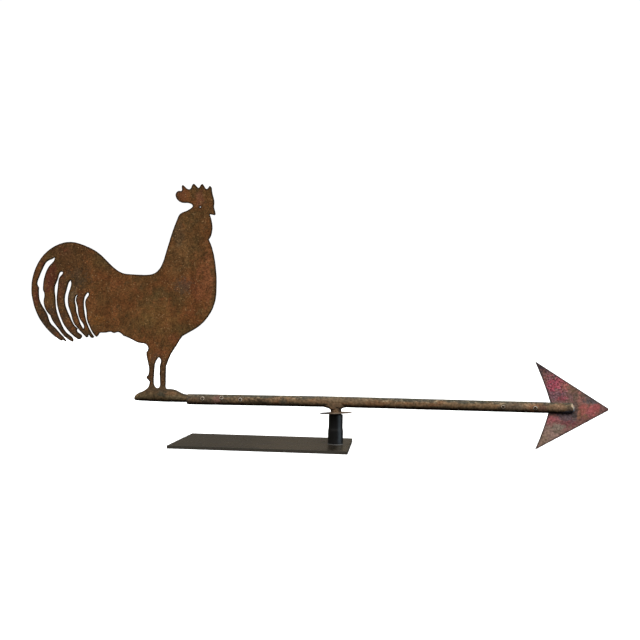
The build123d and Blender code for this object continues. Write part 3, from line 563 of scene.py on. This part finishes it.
def rivet_metal():
    """Blind rivet, by its ring attribute: a worn light crest, and painted shade that darkens its outer slope
    and the hole in its centre.
    """
    f = Finish("rivet_metal", metallic=0.3, specular=0.1)
    grime = f.step(f.cloud(4.0, 4, 0.6), 0.3, 0.7, -0.3, 0.14)
    worn = f.sums("ADD", f.attribute("ring"), grime)
    # Ring 1 is the worn crest; low ring values, on the outer slope and down the hole, are painted shade.
    colour = f.ramp(worn, (0.1, (0.008, 0.006, 0.005)), (0.36, (0.07, 0.05, 0.034)),
                    (0.6, (0.13, 0.096, 0.066)), (0.95, (0.54, 0.45, 0.35)))
    f.bump(f.cloud(1.2, 4, 0.6), 0.1)
    return f.done(colour, f.uneven(2, 0.4, 0.65, detail=4))


FINISHES = {
    "plate_black": plate_black(),
    "post_black": post_black(),
    "bright_steel": bare_metal("bright_steel", (0.16, 0.16, 0.16), (0.3, 0.29, 0.28), metallic=0.6,
                               roughness=(0.5, 0.68), grain=3),
    "bronze": bare_metal("bronze", (0.36, 0.2, 0.08), (0.58, 0.36, 0.15), metallic=1.0,
                         roughness=(0.28, 0.45), grain=3),
    "pipe_patina": pipe_patina(),
    "weld_rust": weld_rust(),
    "shield_rust": shield_rust(),
    "core_metal": core_metal(),
    "arrow_paint": arrow_paint(),
    "rivet_metal": rivet_metal(),
    # Near black: painted shade for the mandrels sunk in the rivet holes.
    "mandrel_dark": bare_metal("mandrel_dark", (0.004, 0.004, 0.003), (0.01, 0.008, 0.007), metallic=0.0,
                               roughness=(0.7, 0.9), grain=2),
    "rooster_rust": rooster_rust(),
    "foot_patina": foot_patina(),
}


# ---------- mesh helpers ----------
SAME = 1e-6      # points closer than this, in metres, are one point


def shown(name, data):
    """Object in the scene, from a mesh or a lamp."""
    made = bpy.data.objects.new(name, data)
    bpy.context.scene.collection.objects.link(made)
    return made


def new_piece(name, points, faces):
    """Object from points in metres and faces."""
    mesh = bpy.data.meshes.new(name)
    mesh.from_pydata([tuple(point) for point in points], [], faces)
    return shown(name, mesh)


def joined_form(node):
    """Copy of a CAD node's mesh for editing, with its coinciding points merged."""
    form = bmesh.new()
    form.from_mesh(NODES[node].data)
    bmesh.ops.remove_doubles(form, verts=form.verts, dist=SAME)
    return form


def welded(piece, gap=SAME):
    """Merge points that coincide and make all faces look outwards."""
    form = bmesh.new()
    form.from_mesh(piece.data)
    bmesh.ops.remove_doubles(form, verts=form.verts, dist=gap)
    bmesh.ops.recalc_face_normals(form, faces=form.faces)
    form.to_mesh(piece.data)
    form.free()
    return piece


def copy_of(name, *nodes):
    """Object that joins copies of some CAD nodes' meshes."""
    form = bmesh.new()
    for node in nodes:
        form.from_mesh(NODES[node].data)
    mesh = bpy.data.meshes.new(name)
    form.to_mesh(mesh)
    form.free()
    return welded(shown(name, mesh))


def remeshed(piece, voxel, rounds):
    """Rebuild a piece as one closed, even skin, and smooth it a little."""
    change = piece.modifiers.new("remesh", "REMESH")
    change.mode = "VOXEL"
    change.voxel_size = voxel * MM
    soften = piece.modifiers.new("soften", "SMOOTH")
    soften.factor = 0.5
    soften.iterations = rounds
    graph = bpy.context.evaluated_depsgraph_get()
    shape = bpy.data.meshes.new_from_object(piece.evaluated_get(graph))
    piece.modifiers.clear()
    piece.data = shape
    return piece


def moved(piece, shift):
    """Move each point by shift(place, normal), a vector in metres."""
    mesh = piece.data
    normals = [vertex.normal.copy() for vertex in mesh.vertices]
    for vertex, normal in zip(mesh.vertices, normals):
        vertex.co += shift(vertex.co, normal)
    mesh.update()
    return piece


def rough(place, size, seed=0.0):
    """Smooth noise from -1 to 1 with bumps about size millimetres across."""
    return noise.noise(place / (size * MM) + Vector((seed, seed, seed)))


def crusted(piece, *layers):
    """Roughen a surface inwards with layers of (bump size, depth), both in millimetres."""
    def sink(place, normal):
        depth = sum(deep * (0.5 + 0.5 * rough(place, size, 7.3 * order))
                    for order, (size, deep) in enumerate(layers))
        return normal * (-depth * MM)
    return moved(piece, sink)


def place_piece(piece, body, slot, nodes, sharp=40):
    """Give a piece its finish and body, and say which CAD nodes it stands for."""
    piece.data.materials.clear()
    piece.data.materials.append(FINISHES[slot])
    piece.data.polygons.foreach_set("use_smooth", [True] * len(piece.data.polygons))
    piece.data.set_sharp_from_angle(angle=radians(sharp))
    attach(piece, body)
    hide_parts(*nodes)


# ---------- sheets: the cockerel and the arrowhead ----------
def front_outlines(node):
    """Loops of (x, z) in millimetres round an upright sheet's front face, with the metal on their left."""
    form = joined_form(node)
    form.normal_update()
    following = {}
    for edge in form.edges:
        front = [corner for corner in edge.link_loops if corner.face.normal.y < -0.9]
        if len(front) == 1:
            following[front[0].vert] = front[0].link_loop_next.vert
    outlines = []
    while following:
        here = next(iter(following))
        path = []
        while here in following:
            path.append((here.co.x / MM, here.co.z / MM))
            here = following.pop(here)
        outlines.append(np.array(path))
    form.free()
    return outlines


def evened(path, shortest, longest):
    """The same loop without crowded points, and with its long runs divided."""
    kept = [path[0]]
    for point in path[1:]:
        if np.hypot(*(point - kept[-1])) > shortest:
            kept.append(point)
    points = []
    for start, end in zip(kept, kept[1:] + kept[:1]):
        parts = max(1, ceil(np.hypot(*(end - start)) / longest))
        points += [start + (end - start) * part / parts for part in range(parts)]
    return np.array(points)


def inward(path):
    """Direction into the metal at each point of a loop, longer at corners."""
    along = np.roll(path, -1, axis=0) - path
    along /= np.hypot(along[:, 0], along[:, 1])[:, None]
    left = np.stack((-along[:, 1], along[:, 0]), axis=1)
    mean = (left + np.roll(left, 1, axis=0)) / 2
    size = np.hypot(mean[:, 0], mean[:, 1])[:, None]
    longest_corner = 1.3
    return mean / size * np.minimum(1 / np.maximum(size, 0.1), longest_corner)


def inside(points, loops):
    """Which points lie in the metal, by counting the outline edges to one side."""
    start = np.concatenate(loops)
    end = np.concatenate([np.roll(loop, -1, axis=0) for loop in loops])
    answer = []
    for group in np.array_split(points, max(1, len(points) // 500)):
        x = group[:, :1]
        z = group[:, 1:]
        spans = (start[:, 1] > z) != (end[:, 1] > z)
        rise = np.where(end[:, 1] == start[:, 1], 1, end[:, 1] - start[:, 1])
        crossing = start[:, 0] + (z - start[:, 1]) * (end[:, 0] - start[:, 0]) / rise
        answer.append((spans & (x < crossing)).sum(axis=1) % 2 == 1)
    return np.concatenate(answer)


def tree_of(loops, spacing):
    """Search tree of points every spacing millimetres along the loops."""
    dense = np.concatenate([evened(loop, 0, spacing) for loop in loops])
    tree = kdtree.KDTree(len(dense))
    for index, (x, z) in enumerate(dense):
        tree.insert((x, 0, z), index)
    tree.balance()
    return tree


def filled(loops, tree, pitch, margin):
    """Points and triangles that fill the loops with an even net."""
    corners = np.concatenate(loops)
    low = corners.min(axis=0)
    high = corners.max(axis=0)
    rows = np.arange(low[1], high[1], pitch * sqrt(3) / 2)
    net = [(x + pitch / 2 * (row % 2), z) for row, z in enumerate(rows)
           for x in np.arange(low[0], high[0], pitch)]
    ring = np.concatenate([loop + inward(loop) * margin for loop in loops])
    net = np.array([point for point in net if tree.find((point[0], 0, point[1]))[2] > margin + 0.5 * pitch])
    ring = np.array([point for point in ring if tree.find((point[0], 0, point[1]))[2] > margin * 0.85])
    extra = np.concatenate((net, ring))
    extra = extra[inside(extra, loops)]
    edges = []
    count = 0
    for loop in loops:
        edges += [(count + here, count + (here + 1) % len(loop)) for here in range(len(loop))]
        count += len(loop)
    every = [Vector(point) for point in np.concatenate((corners, extra))]
    points, _, triangles, _, _, _ = delaunay_2d_cdt(every, edges, [], 1, 1e-5)
    points = np.array([tuple(point) for point in points])
    triangles = np.array([list(triangle) for triangle in triangles])
    return points, triangles[inside(points[triangles].mean(axis=1), loops)]


SCALE = 0.32      # growth in millimetres of an old skin: gathered rust, and edges render a little thin


def sheet(name, node, pitch, rounding, ragged):
    """Upright sheet from a CAD sheet's outline: netted faces, rounded ragged edges, and a rim attribute."""
    low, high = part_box(node)
    half = (high.y - low.y) / 2 / MM
    margin = 1.9
    rim_width = 2.9
    loops = []
    for path in front_outlines(node):
        loop = evened(path, shortest=0.7, longest=2.4)
        jag = [ragged * (rough(Vector((x, 0, z)) * MM, 6) + 0.6 * rough(Vector((x, 5, z)) * MM, 2.5))
               for x, z in loop]
        swollen = loop + inward(loop) * (np.array(jag)[:, None] - SCALE)
        loops.append(np.clip(swollen, (low.x / MM, low.z / MM), (high.x / MM, high.z / MM)))
    insets = [loop + inward(loop) * rounding for loop in loops]
    tree = tree_of(loops, spacing=0.4)
    net, triangles = filled(insets, tree, pitch, margin)
    points = [(x, side * half, z) for side in (-1, 1) for x, z in net]
    faces = [tuple(triangle) for triangle in triangles]
    faces += [tuple(reversed([corner + len(net) for corner in triangle])) for triangle in triangles]
    shoulder = 0.3 * rounding
    rows = ((rounding, -half), (shoulder, shoulder - half), (0, rounding - half), (0, 0),
            (0, half - rounding), (shoulder, half - shoulder), (rounding, half))
    for loop in loops:
        first = len(points)
        into = inward(loop)
        for depth, y in rows:
            points += [(x, y, z) for x, z in loop + into * depth]
        size = len(loop)
        for row in range(len(rows) - 1):
            for here in range(size):
                a = first + row * size + here
                b = first + row * size + (here + 1) % size
                faces.append((a, a + size, b + size, b))
    piece = welded(new_piece(name, [tuple(MM * part for part in point) for point in points], faces), 2e-6)
    rim = piece.data.attributes.new("rim", "FLOAT", "POINT")
    for vertex, value in zip(piece.data.vertices, rim.data):
        away = tree.find((vertex.co.x / MM, 0, vertex.co.z / MM))[2]
        value.value = 1 - min(1, max(0, away - 0.3) / rim_width)
    return piece


def rising(value, low, high):
    """Smooth rise from 0 to 1 as value goes from low to high."""
    share = min(1, max(0, (value - low) / (high - low)))
    return share * share * (3 - 2 * share)


def make_rooster():
    """Cockerel of rusty sheet, a little warped, hammered and pitted."""
    piece = sheet("cockerel_sheet", "rooster", 3.0, 0.45, 0.22)

    def hammered(place, normal):
        free = rising(place.z, FOOT_HIGH.z + 0.01, FOOT_HIGH.z + 0.12)
        bow = 1.3 * free * (rough(place, 150, 3) + 0.6 * rising(BIRD_HIGH.x - place.x, 0.2, 0.4))
        dents = 0.16 * rough(place, 22, 5) + 0.09 * rough(place, 8, 9)
        side = 1 if place.y > 0 else -1
        crust = 0.07 * side * rough(place, 5, 13 * side)
        return Vector((0, (bow + dents * free + crust) * MM, 0))

    moved(piece, hammered)
    place_piece(piece, "vane", "rooster_rust", ["rooster"], sharp=50)


def make_arrowhead():
    """Flat barbed head with a slight twist in its barbs."""
    piece = sheet("arrow_plate", "arrowhead", 3.0, 0.45, 0.15)

    def bent(place, normal):
        free = rising(abs(place.z - AXIS_Z), PIPE_R, 0.08)
        bow = 0.9 * free * rough(place, 90, 2)
        crust = 0.08 * rough(place, 7, 4) * rising(place.x, PIPE_HIGH.x - 0.05, PIPE_HIGH.x)
        return Vector((0, (bow + crust) * MM, 0))

    moved(piece, bent)
    place_piece(piece, "vane", "arrow_paint", ["arrowhead"], sharp=50)


# ---------- round pieces ----------
def skin(profile, around, place):
    """Turned points and faces from a loop of (radius, distance along); place puts a point in the frame."""
    points = []
    for radius, along in profile:
        for step in range(around):
            turn = 2 * pi * step / around
            points.append(place(radius * cos(turn), radius * sin(turn), along))
    faces = []
    for row in range(len(profile)):
        after = (row + 1) % len(profile)
        if profile[row][0] == 0 and profile[after][0] == 0:
            continue
        here = row * around
        there = after * around
        for step in range(around):
            other = (step + 1) % around
            faces.append((here + step, here + other, there + other, there + step))
    return points, faces


def turned(name, profile, around, place):
    """Turned piece, closed and with its faces outwards."""
    return welded(new_piece(name, *skin(profile, around, place)))


def quarter(corner, radius, side):
    """Stations round a convex edge, from along the wall to across the end: corner is (radius, along)."""
    turns = [step * pi / 12 for step in range(7)]
    return [(corner[0] - radius * (1 - cos(turn)), corner[1] - side * radius * (1 - sin(turn)))
            for turn in turns]


def pipe_point(across, up, x):
    """Point of the arrow pipe, whose cockerel end droops from the hub outwards."""
    bend = 15 * MM
    if x > bend:
        drop = 0
    elif x > -bend:
        drop = DROOP * (bend - x) ** 2 / (4 * bend)
    else:
        drop = -DROOP * x
    return (x, across, AXIS_Z - drop + up)


def make_pipe():
    """Arrow pipe with rounded mouths and a dented, scaly skin."""
    recess = 4 * MM
    chamfer = 0.6 * MM
    pitch = 2 * MM
    low = PIPE_LOW.x
    high = PIPE_HIGH.x
    left = [(0, low + recess), (BORE_R, low + recess), (BORE_R, low + chamfer), (BORE_R + 0.3 * MM, low)]
    left += quarter((PIPE_R, low), 2.3 * MM, -1)[::-1]
    right = quarter((PIPE_R, high), 1.2 * MM, 1)
    right += [(BORE_R + 0.5 * MM, high), (BORE_R, high - chamfer), (BORE_R, high - recess),
              (0, high - recess)]
    run = [(PIPE_R, x) for x in np.arange(left[-1][1] + pitch, right[0][1] - pitch / 2, pitch)]
    piece = turned("arrow_tube", left + run + right, 64, pipe_point)

    def scaled(place, normal):
        if abs(normal.x) > 0.9:
            return Vector((0, 0, 0))
        swell = 0.2 * rough(place, 45) + 0.16 * rough(place, 9, 4) + 0.1 * rough(place, 3.5, 8)
        return normal * ((swell + SCALE) * MM)

    moved(piece, scaled)
    place_piece(piece, "vane", "pipe_patina", ["arrow_pipe"])


def make_post():
    """Turned post: rounded top, a soft step halfway and faint turning rings."""
    paint = 0.25 * MM
    step_depth = 1.15 * MM
    chamfer = 0.4 * MM
    low = POST_LOW.z
    high = POST_HIGH.z
    step_z = low + 29 * MM
    foot_r = POST_HIGH.x + paint
    profile = quarter((foot_r, low), chamfer, -1)[::-1]
    for z in np.arange(low + 2 * MM, high - 2 * MM, 1.5 * MM):
        waist = rising(z, step_z - 3 * MM, step_z + 3 * MM)
        taper = 0.15 * MM * min(1, (z - low) / (step_z - low))
        profile.append((foot_r - step_depth * waist - taper * (1 - waist), z))
    profile += quarter((foot_r - step_depth, high), 1.6 * MM, 1)
    profile += [(BUSH_R + chamfer, high), (BUSH_R, high - chamfer), (BUSH_R, low + chamfer),
                (BUSH_R + chamfer, low)]
    piece = turned("post_sleeve", profile, 96, lambda a, b, z: (a, b, z))
    crusted(piece, (9, 0.05), (3, 0.03))
    place_piece(piece, "stand", "post_black", ["post_tube"])


def make_shield():
    """Round plate on the neck, a little askew, hammered and a little ragged at its edge."""
    thick = 1.8 * MM
    reach = (SHIELD_HIGH.y - SHIELD_LOW.y) / 2
    middle = (SHIELD_LOW + SHIELD_HIGH) / 2
    axis = max(NODES["rain_shield"].data.polygons, key=lambda face: face.area).normal.copy()
    axis *= 1 if axis.z > 0 else -1
    along = Vector((0, 1, 0)).cross(axis).normalized()
    across = axis.cross(along)
    half = thick / 2
    rows = np.linspace(PIPE_R - 1 * MM, reach - 1.5 * MM, 14)
    edge = quarter((reach, half), 0.7 * MM, 1)
    top = [(r, half) for r in rows] + edge[::-1]
    profile = top + [(r, -height) for r, height in reversed(top)]
    piece = turned("rain_plate", profile, 120, lambda a, b, h: middle + along * a + across * b + axis * h)

    def beaten(place, normal):
        flat = Vector((place.x, place.y, 0))
        bent = 0.3 * rough(flat, 24) * rising(flat.length, PIPE_R, reach)
        chipped = 0.15 * rough(flat, 7, 5) * rising(flat.length, reach - 2 * MM, reach)
        crust = 0.08 * rough(place, 4, 9)
        return Vector((0, 0, bent * MM)) - flat.normalized() * abs(chipped) * MM + normal * (crust * MM)

    moved(piece, beaten)
    place_piece(piece, "vane", "shield_rust", ["rain_shield"])


def solids_of(node):
    """Points of each separate solid in a CAD node."""
    form = joined_form(node)
    waiting = set(form.verts)
    solids = []
    while waiting:
        group = {min(waiting, key=lambda vertex: vertex.index)}
        edge = set(group)
        while edge:
            edge = {link.other_vert(vertex) for vertex in edge for link in vertex.link_edges} - group
            group |= edge
        waiting -= group
        group = sorted(group, key=lambda vertex: vertex.index)
        solids.append(np.array([tuple(vertex.co) for vertex in group]))
    form.free()
    return solids


def make_rivets(name, node):
    """Blind rivets: a domed head with a worn crest round the hole that the mandrel left, and its shank."""
    shank = 2.4
    seat = -1.2
    # half section of the head, as (radius, height over the pipe, ring attribute)
    head = ((4.42, -0.7, 0.2), (4.5, 0.1, 0.2), (4.32, 0.5, 0.3), (3.9, 0.85, 0.75), (3.45, 1.15, 1.0),
            (3.0, 1.4, 1.0), (2.7, 1.5, 0.45), (2.35, 1.42, 0.0), (1.9, 1.1, 0.0), (1.45, 0.5, 0.0),
            (1.45, -1.9, 0.0), (0, -1.9, 0.0))
    around = 40
    rings = np.repeat([0.0, 0.0, 0.0] + [ring for radius, height, ring in head], around)
    solids = solids_of(node)
    points = []
    faces = []
    for solid in solids:
        x = (solid[:, 0].min() + solid[:, 0].max()) / 2
        axis_point = Vector(pipe_point(0, 0, x))
        away = solid - np.array(axis_point)
        outer = away[np.hypot(away[:, 1], away[:, 2]) > PIPE_R]
        out = Vector((0, outer[:, 1].mean(), outer[:, 2].mean())).normalized()
        across = out.cross(Vector((1, 0, 0)))
        depth = (away @ np.array(out)).min() / MM - PIPE_R / MM
        profile = [(0, depth), (shank, depth), (shank, seat)]
        profile += [(radius, height) for radius, height, ring in head]

        def place(a, b, height):
            return axis_point + out * (PIPE_R + height * MM) + (Vector((1, 0, 0)) * a + across * b) * MM

        more, round_faces = skin(profile, around, place)
        faces += [[len(points) + corner for corner in face] for face in round_faces]
        points += more
    piece = new_piece(name, points, faces)
    piece.data.attributes.new("ring", "FLOAT", "POINT").data.foreach_set("value", np.tile(rings, len(solids)))
    place_piece(welded(piece), "vane", "rivet_metal", [node])


def make_hub():
    """Neck and its welds as one lumpy casting-like mass."""
    piece = remeshed(copy_of("hub_neck", "hub_stub", "hub_weld"), 0.5, 4)

    def lumpy(place, normal):
        low = rising(place.z, POST_HIGH.z + 1 * MM, POST_HIGH.z + 8 * MM)
        beads = 0.16 * rough(place, 5, 2) + 0.12 * rough(place, 2.4, 6)
        return normal * ((beads + SCALE) * (0.3 + 0.7 * low) * MM)

    moved(piece, lumpy)
    place_piece(piece, "vane", "weld_rust", ["hub_stub", "hub_weld"])
    bead = remeshed(copy_of("shield_bead", "shield_weld"), 0.35, 2)
    crusted(bead, (3, 0.3))
    place_piece(bead, "vane", "weld_rust", ["shield_weld"])


def make_foot():
    """Cast foot and the braze round the legs as one rough mass."""
    piece = remeshed(copy_of("foot_casting", "foot_block", "foot_braze"), 0.7, 1)

    def cast(place, normal):
        swell = 0.3 * rough(place, 14) + 0.18 * rough(place, 5, 4) + 0.08 * rough(place, 2.2, 8)
        clear = rising(PIPE_LOW.x - place.x, -1 * MM, 6 * MM)
        return normal * ((swell + SCALE) * clear * MM)

    moved(piece, cast)
    place_piece(piece, "vane", "foot_patina", ["foot_block", "foot_braze"])


make_rooster()
make_arrowhead()
make_pipe()
make_post()
make_shield()
make_hub()
make_foot()
make_rivets("arrow_blind_rivets", "arrow_rivets")
make_rivets("foot_blind_rivets", "foot_rivets")

for part in frame["record"]["subparts"]:
    slots = NODES[part["node"]].data.materials
    if not slots:
        slots.append(None)
    for index in range(len(slots)):
        slots[index] = FINISHES[part["material_slot"]]


# ---------- studio ----------
def add_sun(name, towards, strength, width, colour=(1, 1, 1), gloss=False):
    """Soft far light that shines from a direction; width is its spread in degrees."""
    data = bpy.data.lights.new(name, "SUN")
    data.energy = strength
    data.angle = radians(width)
    data.color = colour
    light = shown(name, data)
    light.rotation_euler = Vector(towards).to_track_quat("Z", "Y").to_euler()
    light.visible_glossy = gloss


def add_world():
    """White backdrop for the camera, and a dim overcast room for everything else."""
    world = bpy.data.worlds.new("studio")
    bpy.context.scene.world = world
    world.use_nodes = True
    w = Nodes(world.node_tree)
    parts = w.node("ShaderNodeSeparateXYZ")
    w.feed(parts.inputs[0], w.node("ShaderNodeTexCoord").outputs["Generated"])
    height = w.node("ShaderNodeMapRange")
    w.fill(height, Value=parts.outputs["Z"], From_Min=-1)
    glow = w.ramp(height.outputs["Result"], (0.44, (0.012, 0.011, 0.01)), (0.5, (0.078, 0.067, 0.05)),
                  (0.6, (0.16, 0.134, 0.1)), (1.0, (0.85, 0.85, 0.85)))
    room = w.node("ShaderNodeBackground")
    w.fill(room, Color=glow)
    backdrop = w.node("ShaderNodeBackground")
    w.fill(backdrop, Color=(1, 1, 1), Strength=1.05)
    either = w.node("ShaderNodeMixShader")
    w.feed(either.inputs[0], w.node("ShaderNodeLightPath").outputs["Is Camera Ray"])
    w.feed(either.inputs[1], room.outputs[0])
    w.feed(either.inputs[2], backdrop.outputs[0])
    w.fill(w.node("ShaderNodeOutputWorld"), Surface=either.outputs[0])


def add_floor():
    """Wide pale floor that doesn't throw light back up on the object."""
    reach = 30.0
    corners = [(-reach, -reach, 0), (reach, -reach, 0), (reach, reach, 0), (-reach, reach, 0)]
    floor = new_piece("floor", corners, [(0, 1, 2, 3)])
    f = Finish("floor_white", specular=0.0)
    colour = f.ramp(f.cloud(900, 3, 0.5), (0.3, (0.86, 0.86, 0.86)), (0.7, (0.9, 0.9, 0.9)))
    f.fill(f.shader, Emission_Color=(1, 1, 1), Emission_Strength=0.25)
    floor.data.materials.append(f.done(colour, 0.9))
    floor.visible_diffuse = False
    floor.visible_glossy = False


add_sun("key", (0.35, -0.75, 0.9), 2.4, 28)
add_sun("fill", (-0.7, -0.8, 0.35), 0.75, 50)
add_sun("top", (0.0, -0.15, 1.0), 1.3, 60)
add_sun("window", (0.98, -0.32, 0.16), 1.1, 60, (0.7, 0.86, 1.0), gloss=True)
add_sun("back", (-0.5, 0.8, 0.5), 1.3, 40)
add_world()
add_floor()
bpy.context.scene.view_settings.view_transform = "Standard"
